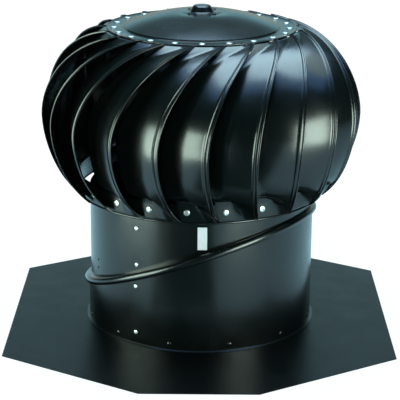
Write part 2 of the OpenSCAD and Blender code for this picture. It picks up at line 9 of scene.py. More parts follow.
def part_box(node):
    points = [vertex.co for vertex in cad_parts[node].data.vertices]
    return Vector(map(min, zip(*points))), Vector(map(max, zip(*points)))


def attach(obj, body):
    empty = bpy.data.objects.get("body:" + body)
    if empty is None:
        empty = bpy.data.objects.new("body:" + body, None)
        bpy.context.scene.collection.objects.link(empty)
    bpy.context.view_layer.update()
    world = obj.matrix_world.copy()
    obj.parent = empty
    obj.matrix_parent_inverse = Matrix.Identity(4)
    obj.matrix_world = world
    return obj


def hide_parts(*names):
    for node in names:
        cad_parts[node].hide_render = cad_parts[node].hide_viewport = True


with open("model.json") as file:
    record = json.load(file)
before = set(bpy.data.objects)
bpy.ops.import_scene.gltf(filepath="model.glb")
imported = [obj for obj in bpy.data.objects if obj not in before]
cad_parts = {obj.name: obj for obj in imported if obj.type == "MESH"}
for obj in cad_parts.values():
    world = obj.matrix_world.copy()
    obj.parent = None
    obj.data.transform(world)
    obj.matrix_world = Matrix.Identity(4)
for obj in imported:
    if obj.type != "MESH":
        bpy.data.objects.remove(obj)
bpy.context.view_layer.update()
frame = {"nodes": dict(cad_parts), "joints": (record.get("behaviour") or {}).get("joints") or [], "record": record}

bl_info = {
    "name": "Roof Turbine Ventilator",
    "version": (1, 0, 0),
    "blender": (4, 5, 0),
    "location": "View3D > Sidebar > Ventilator",
    "description": "Blades, rivets, throat and flashing of a wind-driven roof ventilator",
    "category": "Object",
}


# ---------- sheets, and what the frame says ----------

# Gauges of the enamelled sheet, the cap and the flashing, and the gap of a close fit
SHEET_T, CAP_T, FLASHING_T = 0.0008, 0.001, 0.001
FIT = 0.0001
THROAT_R = 0.155
LIP_R = 0.0016


def foot_of(node):
    """Height of a CAD node's lowest point."""
    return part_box(node)[0].z


RIM_Z = foot_of("cap") + CAP_T
SEAT_Z = foot_of("hub_cover")
RING_Z = foot_of("rotor_ring") + LIP_R
BLADES = sorted(n for n in frame["nodes"] if n.startswith("blade_"))
SWIVEL = next(j for j in frame["joints"] if j["name"] == "neck_swivel")


# ---------- sizes and colours that a user would change ----------

def length(name, description, metres):
    """A length, in metres."""
    return bpy.props.FloatProperty(name=name, description=description, default=metres, unit="LENGTH")


def angle(name, description, degrees):
    """An angle, given in degrees."""
    return bpy.props.FloatProperty(
        name=name, description=description, default=math.radians(degrees), subtype="ANGLE")


def share(name, description, value, low, high):
    """A share between two limits."""
    return bpy.props.FloatProperty(name=name, description=description, default=value, min=low, max=high)


def colour(name, description, hex_code):
    """A colour as an sRGB hex code."""
    return bpy.props.StringProperty(name=name, description=description + ", sRGB hex", default=hex_code)


class VentilatorSizes(bpy.types.PropertyGroup):
    head_r: length("Head radius", "Radius of the free edges at the widest point", 0.2185)
    widest_h: length("Widest height", "Height of the widest point above the ring's foot", 0.110)
    first_blade: angle("First blade", "Azimuth of the first blade's free edge", -104.5)
    top_sweep: angle("Top sweep", "How far a blade's top runs ahead of its middle", 28)
    foot_sweep: angle("Foot sweep", "How far a blade's foot runs ahead of its middle", 6.2)
    roundness: share("Roundness", "Fullness of the head's profile", 0.9, 0.8, 1)
    open_depth: length("Opening depth", "Greatest depth of the opening behind a free edge", 0.033)
    inner_lap: share(
        "Inner lap", "How far an inner edge reaches behind its neighbour, as a share", 0.3, 0, 0.4)
    crown: share(
        "Crown", "Crown of a blade's section: 0 is a flat sheet, 1 a full quarter wave", 0.2, 0, 1)
    bead_h: length("Bead height", "Height of the stiffening bead beside a free edge", 0.0013)
    hem_h: length("Hem height", "Height of the folded hem on a free edge", 0.0010)
    rivet_r: length("Rivet radius", "Radius of the head of a neck or seat rivet", 0.003)
    wide_rivet_r: length("Wide rivet radius", "Radius of the wide head of a rim or foot rivet", 0.0042)
    rivet_h: length("Rivet height", "Height of a blind rivet's head", 0.0014)
    rounds: bpy.props.IntProperty(
        name="Segments round", description="Number of steps round the throat, ring and cap",
        default=240, min=48)


class VentilatorColours(bpy.types.PropertyGroup):
    enamel: colour("Enamel", "Black of the baked enamel", "#020605")
    flashing: colour("Flashing", "Black of the satin flashing", "#020404")
    rivet: colour("Rivets", "Bare aluminium of the rivets", "#D5D8D6")
    label: colour("Label", "White of the blank label", "#D9E3DF")
    backdrop: colour("Backdrop", "Floor and background", "#FFFFFF")


# ---------- small helpers ----------

def linear(hex_code):
    """sRGB hex to the linear values that shaders take."""
    parts = [int(hex_code[i:i + 2], 16) / 255 for i in (1, 3, 5)]
    return [c / 12.92 if c <= 0.04045 else ((c + 0.055) / 1.055) ** 2.4 for c in parts] + [1.0]


def shade(hex_code, factor):
    """The same colour, lighter or darker by a factor, in linear values."""
    return [min(1, c * factor) for c in linear(hex_code)[:3]] + [1.0]


def add(tree, kind, inputs=None, **settings):
    """Adds a node with its settings, and links or sets its inputs by name or number. A node that
    is given for an input stands for its first output."""
    made = tree.nodes.new(kind)
    for name, value in settings.items():
        setattr(made, name, value)
    for key, value in (inputs or {}).items():
        if isinstance(value, bpy.types.Node):
            value = next(socket for socket in value.outputs if socket.enabled)
        if isinstance(value, bpy.types.NodeSocket):
            tree.links.new(value, made.inputs[key])
        else:
            made.inputs[key].default_value = value
    return made


def placed(name, data):
    """A new object that holds this data, in the scene."""
    made = bpy.data.objects.new(name, data)
    bpy.context.scene.collection.objects.link(made)
    return made


def new_mesh(name, points, faces, material, sharp=40):
    """A smooth-shaded mesh object with its place in its mesh, creased where it bends sharply."""
    mesh = bpy.data.meshes.new(name)
    mesh.from_pydata([tuple(p) for p in points], [], faces)
    mesh.validate()
    mesh.shade_smooth()
    mesh.set_sharp_from_angle(angle=math.radians(sharp))
    mesh.materials.append(material)
    return placed(name, mesh)


def outwards(piece):
    """Turns a closed shell's faces outwards."""
    shell = bmesh.new()
    shell.from_mesh(piece.data)
    bmesh.ops.recalc_face_normals(shell, faces=shell.faces)
    shell.to_mesh(piece.data)
    shell.free()
    return piece


def applied(piece):
    """Bakes the modifiers into the mesh and removes them."""
    done = bpy.data.meshes.new_from_object(piece.evaluated_get(bpy.context.evaluated_depsgraph_get()))
    piece.modifiers.clear()
    piece.data = done
    return piece


def dress(piece, body, slot, *nodes):
    """Puts a piece on its body, in place of the CAD nodes that it stands for."""
    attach(piece, body)
    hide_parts(*nodes)


def polar(r, az, z):
    """A point from its radius, azimuth and height."""
    return Vector((r * math.cos(az), r * math.sin(az), z))


def arc(centre, r, start, end, steps):
    """Points on a circle in the (radius, height) plane, angles in degrees."""
    turn = [math.radians(start + (end - start) * i / steps) for i in range(steps + 1)]
    return [(centre[0] + r * math.cos(t), centre[1] + r * math.sin(t)) for t in turn]


def band_faces(count, size):
    """Faces of a closed band: a number of closed sections of this many points, joined all round."""
    faces = []
    for k in range(count):
        here, there = k * size, (k + 1) % count * size
        for j in range(size):
            after = (j + 1) % size
            faces.append((here + j, there + j, there + after, here + after))
    return faces


def revolve(name, outline, material, rounds, sharp=40):
    """A closed outline in the (radius, height) plane, turned about the axis."""
    points = [polar(r, math.tau * k / rounds, z) for k in range(rounds) for r, z in outline]
    return outwards(new_mesh(name, points, band_faces(rounds, len(outline)), material, sharp))


def smooth(t):
    """Eases from 0 to 1 as t does, and stays there beyond."""
    t = min(1, max(0, t))
    return t * t * (3 - 2 * t)


def along(knots, a):
    """Value at a on a line through (position, value) knots."""
    for (a0, v0), (a1, v1) in zip(knots, knots[1:]):
        if a <= a1:
            return v0 + (v1 - v0) * max(0, a - a0) / (a1 - a0)
    return knots[-1][1]


# ---------- materials ----------

# Sizes of the patterns, in metres: patches and flecks of dust, and ripples left in the rolled sheet
DUST_PATCH, DUST_FLECK, RIPPLE = 0.045, 0.0022, 0.07
# Real orange peel is about 1 mm wide, and is drawn coarser so that it shows
ORANGE_PEEL = 0.003
# Marks of the rivet gun, clouds in a metal's tone, and smudges on a label
SCRATCH, CLOUD, SMUDGE = 0.0007, 0.012, 0.008
# How far the ripples, the peel, and the scratches and grain stand up
RIPPLE_H, PEEL_H, GRAIN_H = 0.002, 0.0001, 0.00005
DUST_GREY, SMUDGE_GREY = "#6F7672", "#C2CCC8"


def surface(name, hex_code, metallic, roughness, shine=0.5):
    """A material whose Principled shader has its plain values on its own sockets."""
    made = bpy.data.materials.new(name)
    made.use_nodes = True
    tree = made.node_tree
    bsdf = tree.nodes["Principled BSDF"]
    values = {"Base Color": linear(hex_code), "Metallic": metallic, "Roughness": roughness,
              "Specular IOR Level": shine}
    for socket, value in values.items():
        bsdf.inputs[socket].default_value = value
    return tree, bsdf


def baked_enamel(name, hex_code, roughness, peel, dust, shine):
    """Black enamel baked on galvanised steel: a dark gloss with faint orange peel, the wide ripples
    of the sheet under it, and a thin uneven film of dust that dulls it in places."""
    tree, bsdf = surface(name, hex_code, 0.0, roughness, shine)
    at = add(tree, "ShaderNodeTexCoord").outputs["Object"]
    film = add(tree, "ShaderNodeTexNoise", {
        "Vector": at, "Scale": 1 / DUST_PATCH, "Detail": 5.0, "Roughness": 0.6})
    specks = add(tree, "ShaderNodeTexNoise", {"Vector": at, "Scale": 1 / DUST_FLECK, "Detail": 3.0})
    dulling = add(tree, "ShaderNodeMapRange", {
        "Value": film, "From Min": 0.35, "From Max": 0.7,
        "To Min": roughness - dust, "To Max": roughness + dust})
    tree.links.new(dulling.outputs["Result"], bsdf.inputs["Roughness"])
    tint = add(tree, "ShaderNodeMix", {
        "Factor": film, "A": linear(hex_code), "B": shade(hex_code, 1.6)}, data_type="RGBA")
    fleck = add(tree, "ShaderNodeMapRange", {
        "Value": specks, "From Min": 0.68, "From Max": 0.8, "To Min": 0.0, "To Max": 0.06})
    dusted = add(tree, "ShaderNodeMix", {
        "Factor": fleck, "A": tint, "B": linear(DUST_GREY)}, data_type="RGBA")
    tree.links.new(dusted.outputs["Result"], bsdf.inputs["Base Color"])
    ripple = add(tree, "ShaderNodeTexNoise", {"Vector": at, "Scale": 1 / RIPPLE, "Detail": 1.0})
    orange = add(tree, "ShaderNodeTexNoise", {"Vector": at, "Scale": 1 / ORANGE_PEEL, "Detail": 2.0})
    wave = add(tree, "ShaderNodeBump", {"Height": ripple, "Strength": 0.25, "Distance": RIPPLE_H})
    skin = add(tree, "ShaderNodeBump", {
        "Height": orange, "Strength": peel, "Distance": PEEL_H, "Normal": wave})
    tree.links.new(skin.outputs["Normal"], bsdf.inputs["Normal"])


def drawn_aluminium(name, hex_code):
    """Bare aluminium rivets: bright, lightly scratched by the tool that set them."""
    tree, bsdf = surface(name, hex_code, 1.0, 0.32)
    at = add(tree, "ShaderNodeTexCoord").outputs["Object"]
    scratch = add(tree, "ShaderNodeTexNoise", {"Vector": at, "Scale": 1 / SCRATCH, "Detail": 3.0})
    rough = add(tree, "ShaderNodeMapRange", {"Value": scratch, "To Min": 0.22, "To Max": 0.5})
    tree.links.new(rough.outputs["Result"], bsdf.inputs["Roughness"])
    bump = add(tree, "ShaderNodeBump", {"Height": scratch, "Strength": 0.3, "Distance": GRAIN_H})
    tree.links.new(bump.outputs["Normal"], bsdf.inputs["Normal"])


def plated_metal(name, hex_code, roughness, grain):
    """Zinc plate, ground steel or stamped brass: metal with a cloudy tone and a fine grain."""
    tree, bsdf = surface(name, hex_code, 1.0, roughness)
    at = add(tree, "ShaderNodeTexCoord").outputs["Object"]
    cloud = add(tree, "ShaderNodeTexNoise", {"Vector": at, "Scale": 1 / CLOUD, "Detail": 4.0})
    tone = add(tree, "ShaderNodeMix", {
        "Factor": cloud, "A": linear(hex_code), "B": shade(hex_code, 0.7)}, data_type="RGBA")
    tree.links.new(tone.outputs["Result"], bsdf.inputs["Base Color"])
    fine = add(tree, "ShaderNodeTexNoise", {"Vector": at, "Scale": 1 / grain, "Detail": 2.0})
    bump = add(tree, "ShaderNodeBump", {"Height": fine, "Strength": 0.2, "Distance": GRAIN_H})
    tree.links.new(bump.outputs["Normal"], bsdf.inputs["Normal"])


def label_film(name, hex_code):
    """Blank self-adhesive film: white, satin, a little grey where it has been handled."""
    tree, bsdf = surface(name, hex_code, 0.0, 0.4)
    at = add(tree, "ShaderNodeTexCoord").outputs["Object"]
    smudge = add(tree, "ShaderNodeTexNoise", {"Vector": at, "Scale": 1 / SMUDGE, "Detail": 3.0})
    tone = add(tree, "ShaderNodeMix", {
        "Factor": smudge, "A": linear(hex_code), "B": linear(SMUDGE_GREY)}, data_type="RGBA")
    tree.links.new(tone.outputs["Result"], bsdf.inputs["Base Color"])


def finishes():
    """Every finish, made once and found again by name."""
    colours = bpy.context.scene.ventilator_colours
    if "baked enamel" not in bpy.data.materials:
        baked_enamel("baked enamel", colours.enamel, roughness=0.25, peel=0.25, dust=0.03, shine=0.5)
        baked_enamel("satin enamel", colours.flashing, roughness=0.36, peel=0.4, dust=0.03, shine=0.25)
        drawn_aluminium("drawn aluminium", colours.rivet)
        plated_metal("zinc plate", "#A9ADB0", roughness=0.35, grain=0.0012)
        plated_metal("ground steel", "#A3A6A9", roughness=0.22, grain=0.0006)
        plated_metal("stamped brass", "#B8893F", roughness=0.35, grain=0.0008)
        label_film("label film", colours.label)
    return bpy.data.materials


# ---------- repeats made by geometry nodes ----------

def node_group(name, inputs):
    """An empty geometry tree with a mesh in, a mesh out, the named inputs and a finish."""
    tree = bpy.data.node_groups.new(name, "GeometryNodeTree")
    tree.interface.new_socket("Geometry", in_out="INPUT", socket_type="NodeSocketGeometry")
    for label, kind in inputs + [("Finish", "NodeSocketMaterial")]:
        tree.interface.new_socket(label, in_out="INPUT", socket_type=kind)
    tree.interface.new_socket("Geometry", in_out="OUTPUT", socket_type="NodeSocketGeometry")
    return tree, add(tree, "NodeGroupInput")


def hand_over(tree, given, copies):
    """Ends a tree: its copies become plain mesh, take the finish and leave."""
    plain = add(tree, "GeometryNodeRealizeInstances", {"Geometry": copies})
    painted = add(tree, "GeometryNodeSetMaterial", {"Geometry": plain, "Material": given.outputs["Finish"]})
    add(tree, "NodeGroupOutput", {"Geometry": painted})
    return tree


def run_tree(piece, tree, values):
    """Runs a geometry tree on a piece with its inputs, and keeps the plain result."""
    modifier = piece.modifiers.new(tree.name, "NODES")
    modifier.node_group = tree
    names = {s.name: s.identifier for s in tree.interface.items_tree if s.in_out == "INPUT"}
    for label, value in values.items():
        modifier[names[label]] = value
    return applied(piece)


def ring_tree():
    """Repeats the incoming piece round the axis."""
    tree, given = node_group("repeat round the axis", [
        ("Count", "NodeSocketInt"), ("Pitch", "NodeSocketFloat")])
    dots = add(tree, "GeometryNodePoints", {"Count": given.outputs["Count"]})
    number = add(tree, "GeometryNodeInputIndex")
    turn = add(tree, "ShaderNodeMath", {0: number, 1: given.outputs["Pitch"]}, operation="MULTIPLY")
    euler = add(tree, "ShaderNodeCombineXYZ", {"Z": turn})
    rotation = add(tree, "FunctionNodeEulerToRotation", {"Euler": euler})
    copies = add(tree, "GeometryNodeInstanceOnPoints", {
        "Points": dots, "Instance": given.outputs["Geometry"], "Rotation": rotation})
    return hand_over(tree, given, copies)


def places_tree():
    """Sets a fastener on each point of the incoming mesh, its axis along the point's normal."""
    tree, given = node_group("fasteners on their places", [
        ("Fastener", "NodeSocketObject"), ("Size", "NodeSocketVector")])
    fastener = add(tree, "GeometryNodeObjectInfo", {
        "Object": given.outputs["Fastener"], "As Instance": True})
    facing = add(tree, "GeometryNodeInputNamedAttribute", {"Name": "facing"}, data_type="FLOAT_VECTOR")
    aim = add(tree, "FunctionNodeAlignRotationToVector", {"Vector": facing}, axis="Z")
    copies = add(tree, "GeometryNodeInstanceOnPoints", {
        "Points": given.outputs["Geometry"], "Instance": fastener.outputs["Geometry"],
        "Rotation": aim, "Scale": given.outputs["Size"]})
    return hand_over(tree, given, copies)


def shared_tree(name, make):
    """A geometry tree, made once and found again by name."""
    return bpy.data.node_groups.get(name) or make()


# ---------- blades ----------

# Angles up a blade, in degrees: its foot, the rim, and where its free edge turns back
FOOT_ANGLE, TOP_ANGLE, TURN_ANGLE = 63, 80, -8
# Where its rows leave the ring, where they stand open, and where they bend into the tab
FOOT_ROWS_END, OPEN_ROWS_START, TAB_ROWS_START = -51, -42, 70
FOOT_RIVET_ANGLE = 8 - FOOT_ANGLE
BLADE_GAP = math.radians(0.14)

# The ring: its standing wall and the flare over it
RING_R, RING_WALL_H = 0.169, 0.002
FLARE_W, FLARE_H = 0.001, 0.023
FLARE_Z = RING_Z + RING_WALL_H
FLARE = math.atan(FLARE_W / FLARE_H)
FLARE_OUT = Vector((math.cos(FLARE), -math.sin(FLARE)))
FLARE_TOP = Vector((RING_R + FLARE_W, FLARE_Z + FLARE_H))

# The cap's rim, the rivets at a blade's ends, and the ends of its tab
RIM_R, RIM_RIVET_R, FOOT_RIVET_H = 0.1285, 0.119, 0.0125
UNDER_RIM_Z = RIM_Z - CAP_T - FIT
TAB_OUTER_R, TAB_INNER_R = RIM_R + 0.002, RIM_RIVET_R - 0.007
TIP_INSET, TIP_RISE = 0.010, 0.002
CORE_R = RIM_R - TIP_INSET
FOOT_STAND, FOOT_DROP = 0.0034, 0.0007
FOOT_R = RING_R + FOOT_STAND

# Shares of a blade's width: flat on the ring, flat under the rim, and inwards of the rivets
FOOT_SHARE, TAB_SHARE, RIVET_SHARE = 0.45, 0.76, 0.225
# Share of the width that lies flat at the inner edge, by angle
FLAT_KNOTS = [(-FOOT_ANGLE, FOOT_SHARE), (FOOT_ROWS_END, FOOT_SHARE), (OPEN_ROWS_START, 0.2), (-27, 0),
              (58, 0), (TAB_ROWS_START, 0.2), (TOP_ANGLE, TAB_SHARE)]
# Share of the inner lap that is reached, by angle, and the part of the width that it moves
LAP_KNOTS = [(-FOOT_ANGLE, 0), (FOOT_ROWS_END, 0), (OPEN_ROWS_START, 1), (TAB_ROWS_START, 1), (TOP_ANGLE, 0)]
LAP_SHARE = 0.25
# The opening closes this far past the foot and the rim, and falls off by this power
PAST_FOOT, PAST_RIM, OPEN_POWER = 3, 6, 1.3


def pitch():
    """Angle from one blade to the next."""
    return math.tau / len(BLADES)


def span():
    """Angle that a blade fills."""
    return pitch() - BLADE_GAP


class BladeRule:
    """The rule that every blade follows: its free edge lies on a surface of revolution, and angle a
    (degrees) runs up it from the foot, below 0, to the rim."""

    def __init__(self, sizes):
        self.s = sizes
        self.mid_z = RING_Z + sizes.widest_h
        self.low_half = (self.mid_z - FLARE_Z + FOOT_DROP) / math.sin(math.radians(FOOT_ANGLE))
        self.high_half = RIM_Z + TIP_RISE - self.mid_z
        self.low_reach = (sizes.head_r - FOOT_R) / self.ease(FOOT_ANGLE)

    def curve(self, a):
        """Reach inwards and half height of the profile's part that a lies in."""
        if a < 0:
            return self.low_reach, self.low_half
        return self.s.head_r - CORE_R, self.high_half

    def ease(self, a):
        """Share of the reach at a, 0 at the widest point."""
        return max(1e-9, 1 - math.cos(math.radians(a))) ** self.s.roundness

    def edge(self, a):
        """Radius and height of the free edge."""
        reach, half = self.curve(a)
        return Vector((self.s.head_r - reach * self.ease(a), self.mid_z + half * math.sin(math.radians(a))))

    def outward(self, a):
        """Direction in the (radius, height) plane that is square to the free edge's profile."""
        reach, half = self.curve(a)
        t = math.radians(a)
        slope = self.s.roundness * self.ease(a) / max(1e-9, 1 - math.cos(t)) * math.sin(t)
        return Vector((half * math.cos(t), reach * slope)).normalized()

    def sweep(self, a):
        """How far round the axis the blade has turned at a."""
        if a > TURN_ANGLE:
            return self.s.top_sweep * ((a - TURN_ANGLE) / (TOP_ANGLE - TURN_ANGLE)) ** 2
        return self.s.foot_sweep * ((a - TURN_ANGLE) / (FOOT_ANGLE + TURN_ANGLE)) ** 2

    def open_share(self, a):
        """How far the blade stands open here, 1 at the middle."""
        end = FOOT_ANGLE + PAST_FOOT if a < 0 else TOP_ANGLE + PAST_RIM
        return max(0, 1 - (a / end) ** 2) ** OPEN_POWER

    def depth(self, a):
        """Depth of the inner edge: on the ring at the foot, under the rim at the top, open between."""
        out = self.outward(a)
        on_flare = ((self.edge(a) - FLARE_TOP).dot(FLARE_OUT) - FIT - SHEET_T) / out.dot(FLARE_OUT)
        opened = self.s.open_depth * self.open_share(a)
        if a <= 0:
            risen = smooth((a - FOOT_ROWS_END) / (OPEN_ROWS_START - FOOT_ROWS_END))
            return on_flare + (opened - on_flare) * risen
        if a > TAB_ROWS_START:
            tuck = (self.edge(TOP_ANGLE).y - UNDER_RIM_Z) / self.outward(TOP_ANGLE).y
            open_end = self.s.open_depth * self.open_share(TAB_ROWS_START)
            return along([(TAB_ROWS_START, open_end), (TOP_ANGLE, tuck)], a)
        return opened

    def lap(self, a):
        """How far the inner edge reaches behind the neighbour here."""
        return along(LAP_KNOTS, a) * self.open_share(a) * self.s.inner_lap

    def point(self, a, u, lift):
        """A point of the blade: u runs across it from the inner edge to the free edge."""
        s = u - self.lap(a) * (1 - u / LAP_SHARE) if u < LAP_SHARE else u
        flat = along(FLAT_KNOTS, a)
        t = max(0, (s - flat) / (1 - flat))
        rise = 1 - self.s.crown * math.sin(math.pi / 2 * t) - (1 - self.s.crown) * t
        at = self.edge(a) - (self.depth(a) * rise - lift) * self.outward(a)
        return polar(at.x, self.sweep(a) - span() * (1 - s), at.y)

    def tab(self, r, u, drop):
        """A point of the tab that is riveted under the rim."""
        return polar(r, self.sweep(TOP_ANGLE) - span() * (1 - TAB_SHARE * u), UNDER_RIM_Z - drop)


def blade_columns(sizes):
    """Columns across a blade, as (share of the width, height): plain sheet, bead, then hem."""
    bead_at, bead_half = 0.895, 0.027
    sheet = [(u, 0.0) for u in (0, 0.06, 0.12, 0.18, 0.25, 0.33, 0.41, 0.5, 0.59, 0.68, 0.77, 0.84)]
    bead = [(bead_at + bead_half * x, sizes.bead_h * (1 + math.cos(math.pi * x)) / 2)
            for x in (-1, -0.7, -0.4, -0.15, 0.15, 0.4, 0.7, 1)]
    hem = [(0.945, 0.0), (0.956, 0.1), (0.962, 0.8), (0.970, 1.0), (0.985, 1.0), (0.994, 0.75), (1.0, 0.25)]
    return sheet + bead + [(u, h * sizes.hem_h) for u, h in hem]


def blade_angles():
    """Rows up a blade, closer together where it bends into its foot and its tab."""
    foot = [-FOOT_ANGLE, -60, -57, -54, FOOT_ROWS_END, -49, -46.5, -44, OPEN_ROWS_START]
    row_step, body_end = 3.5, 60
    body = [OPEN_ROWS_START + row_step * i for i in range(1, 30)]
    return foot + [a for a in body if a < body_end] + [62, 65, 68, TAB_ROWS_START, 72, 74, 76, 78, TOP_ANGLE]


def blade_shell(sizes):
    """One blade as a closed shell of the sheet's thickness."""
    rule = BladeRule(sizes)
    columns = blade_columns(sizes)
    rows = []
    for a in blade_angles():
        outer = [rule.point(a, u, lift) for u, lift in columns]
        inner = [rule.point(a, u, -SHEET_T) for u, lift in columns]
        rows.append(outer + inner[::-1])
    for r in (TAB_OUTER_R, RIM_RIVET_R, TAB_INNER_R):
        outer = [rule.tab(r, u, 0) for u, lift in columns]
        inner = [rule.tab(r, u, SHEET_T) for u, lift in columns]
        rows.append(outer + inner[::-1])
    across, size, last = len(columns), len(rows[0]), len(rows) - 1
    points = [p for row in rows for p in row]
    faces = [(i * size + j, i * size + (j + 1) % size, (i + 1) * size + (j + 1) % size, (i + 1) * size + j)
             for i in range(last) for j in range(size)]
    for base in (0, last * size):
        end = base + size - 1
        faces += [(base + j, base + j + 1, end - j - 1, end - j) for j in range(across - 1)]
    return points, faces


class VENT_OT_blades(bpy.types.Operator):
    """Make the ring of swept, hemmed blades"""
    bl_idname = "ventilator.blades"
    bl_label = "Blades"

    def execute(self, context):
        sizes = context.scene.ventilator_sizes
        finish = finishes()["baked enamel"]
        points, faces = blade_shell(sizes)
        turn = Matrix.Rotation(sizes.first_blade, 4, "Z")
        blades = outwards(new_mesh("swept_blades", [turn @ p for p in points], faces, finish, 35))
        run_tree(blades, shared_tree("repeat round the axis", ring_tree),
                 {"Count": len(BLADES), "Pitch": pitch(), "Finish": finish})
        dress(blades, "rotor", "black_enamel", *BLADES)
        return {"FINISHED"}


# ---------- rivets ----------

# The lap seam of both throat sections, in degrees, and the rivets up it
SEAM_AZ = -123
UPPER_SEAM_ZS, LOWER_SEAM_ZS = (0.1665, 0.1155), (0.0855, 0.020)
COLLAR_RIVETS, COLLAR_RIVET_Z = 12, 0.011
SEAT_RIVETS, SEAT_RIVET_R = 4, 0.023
# Outer radius of the lower throat's wall, inside the sheet, and of the narrower upper one
LOWER_R = THROAT_R + 2 * SHEET_T + FIT
UPPER_R = LOWER_R - 0.0026


def rivet_shape(material):
    """Blind rivet of unit radius and height: domed head with a sunk mandrel, +Z outwards."""
    hole, rounds = 0.36, 20
    outline = [(hole * 0.75, 0.55), (hole * 0.9, 0.35), (hole, 0.4), (hole * 1.1, 0.96)]
    outline += [(math.cos(t), 0.25 + 0.75 * math.sin(t))
                for t in (math.radians(d) for d in (60, 48, 36, 24, 12, 0))]
    outline.append((0.97, 0.0))
    size = len(outline)
    points = [polar(r, math.tau * k / rounds, z) for k in range(rounds) for r, z in outline]
    faces = [f for i, f in enumerate(band_faces(rounds, size)) if i % size < size - 1]
    faces += [tuple(k * size for k in range(rounds)),
              tuple(k * size + size - 1 for k in reversed(range(rounds)))]
    shape = outwards(new_mesh("rivet_pattern", points, faces, material, 50))
    shape.hide_render = True
    return shape


def blade_rivet_azimuths(sizes, a):
    """Where the blades' rivets sit round the axis, at one angle up the blades."""
    swept = BladeRule(sizes).sweep(a)
    return [sizes.first_blade + pitch() * i + swept - span() * (1 - RIVET_SHARE) for i in range(len(BLADES))]


def rim_places(sizes):
    """Places on the cap's rim, over the blades' tabs."""
    for az in blade_rivet_azimuths(sizes, TOP_ANGLE):
        yield polar(RIM_RIVET_R, az, RIM_Z), Vector((0, 0, 1))


def foot_places(sizes):
    """Places on the blades' feet, square to the ring's flare."""
    raised = SHEET_T + FIT
    r = RING_R + FOOT_RIVET_H * math.tan(FLARE) + raised * FLARE_OUT.x
    z = FLARE_Z + FOOT_RIVET_H + raised * FLARE_OUT.y
    for az in blade_rivet_azimuths(sizes, FOOT_RIVET_ANGLE):
        yield polar(r, az, z), polar(FLARE_OUT.x, az, FLARE_OUT.y)


def seat_places():
    """Places on the hub cover's flange."""
    for i in range(SEAT_RIVETS):
        az = math.radians((i + 0.5) * 360 / SEAT_RIVETS)
        yield polar(SEAT_RIVET_R, az, SEAT_Z + SHEET_T), Vector((0, 0, 1))


def wall_places(r, spots):
    """Places on a standing wall, from (azimuth in degrees, height) pairs."""
    for az, z in spots:
        yield polar(r, math.radians(az), z), polar(1, math.radians(az), 0)


def set_rivets(name, places, material, head_r, head_h):
    """A cloud of places, turned into rivets by the geometry tree."""
    places = list(places)
    mesh = bpy.data.meshes.new(name)
    mesh.from_pydata([tuple(p) for p, facing in places], [], [])
    facing = mesh.attributes.new("facing", "FLOAT_VECTOR", "POINT")
    for i, (p, out) in enumerate(places):
        facing.data[i].vector = out
    rivets = placed(name, mesh)
    pattern = rivet_shape(material)
    run_tree(rivets, shared_tree("fasteners on their places", places_tree),
             {"Fastener": pattern, "Size": (head_r, head_r, head_h), "Finish": material})
    bpy.data.objects.remove(pattern)
    return rivets


class VENT_OT_rivets(bpy.types.Operator):
    """Set the blind rivets of the rotor, the throat seams and the collar"""
    bl_idname = "ventilator.rivets"
    bl_label = "Rivets"

    def execute(self, context):
        sizes = context.scene.ventilator_sizes
        collar_azimuths = [(i + 0.5) * 360 / COLLAR_RIVETS for i in range(COLLAR_RIVETS)]
        upper_seam = wall_places(UPPER_R + SHEET_T, [(SEAM_AZ, z) for z in UPPER_SEAM_ZS])
        lower_seam = wall_places(LOWER_R + SHEET_T, [(SEAM_AZ, z) for z in LOWER_SEAM_ZS])
        collar = wall_places(LOWER_R, [(az, COLLAR_RIVET_Z) for az in collar_azimuths])
        wide, small = sizes.wide_rivet_r, sizes.rivet_r
        bare = ("drawn aluminium", "bare_rivet")
        painted = ("baked enamel", "black_enamel")
        for stands_for, places, head_r, (finish, slot), body in (
                ("rim_rivets", rim_places(sizes), wide, bare, "rotor"),
                ("foot_rivets", foot_places(sizes), wide, bare, "rotor"),
                ("seat_rivets", seat_places(), small, painted, "rotor"),
                ("upper_seam_rivets", upper_seam, small, bare, "upper_section"),
                ("lower_seam_rivets", lower_seam, small, bare, "base"),
                ("collar_rivets", collar, small, painted, "base")):
            name = stands_for.replace("_rivets", "_rivet_heads")
            rivets = set_rivets(name, places, finishes()[finish], head_r, sizes.rivet_h)
            dress(rivets, body, slot, stands_for)
        return {"FINISHED"}


# ---------- cap, hub cover and ring ----------

# The dome, the step at its foot, and the flat seat at its top
DOME_R, DOME_H, DOME_STEP, SEAT_R = 0.107, 0.020, 0.0022, 0.034
# How full the dome's line is, and how far inside its radius it ends
DOME_POWER, DOME_INSET = 1.6, 0.0015
RIM_ROLL_R = 0.0009
# Bends of the cap: the step's, over it and under it, and the one beside the rim's roll
STEP_BEND, STEP_OUT, STEP_UNDER, ROLL_BESIDE = 0.0004, 0.001, 0.0008, 0.0003
BOSS_R, BOSS_TOP_R, BOSS_H = 0.0154, 0.009, 0.0095
CAP_HOLE_R = BOSS_R - 0.0025
# The hub cover's flange thins out to its edge, and its top is well rounded
HUB_FLANGE_R, FLANGE_TAPER, FLANGE_EDGE = 0.027, 0.004, 0.0001
HUB_ROUND_R, HUB_FOOT_R, HUB_DRAFT, HUB_ROUNDS = 0.0042, 0.002, 0.0002, 96
# Points nearer the axis than this close the cup's top
POLE_R = 0.0006
# The ring's bend, from its wall to its flare, and its lip's place inside the wall
BEND_DROP, BEND_OUT, BEND_RISE, LIP_INSET = 0.0006, 0.0003, 0.0005, 0.0002


def dome(drop, steps=40):
    """The spun dome's line, from the flat seat to the crisp step at its foot."""
    edge = DOME_R - DOME_INSET
    return [(SEAT_R + (edge - SEAT_R) * i / steps,
             SEAT_Z - drop - (DOME_H - DOME_STEP) * (i / steps) ** DOME_POWER) for i in range(steps + 1)]


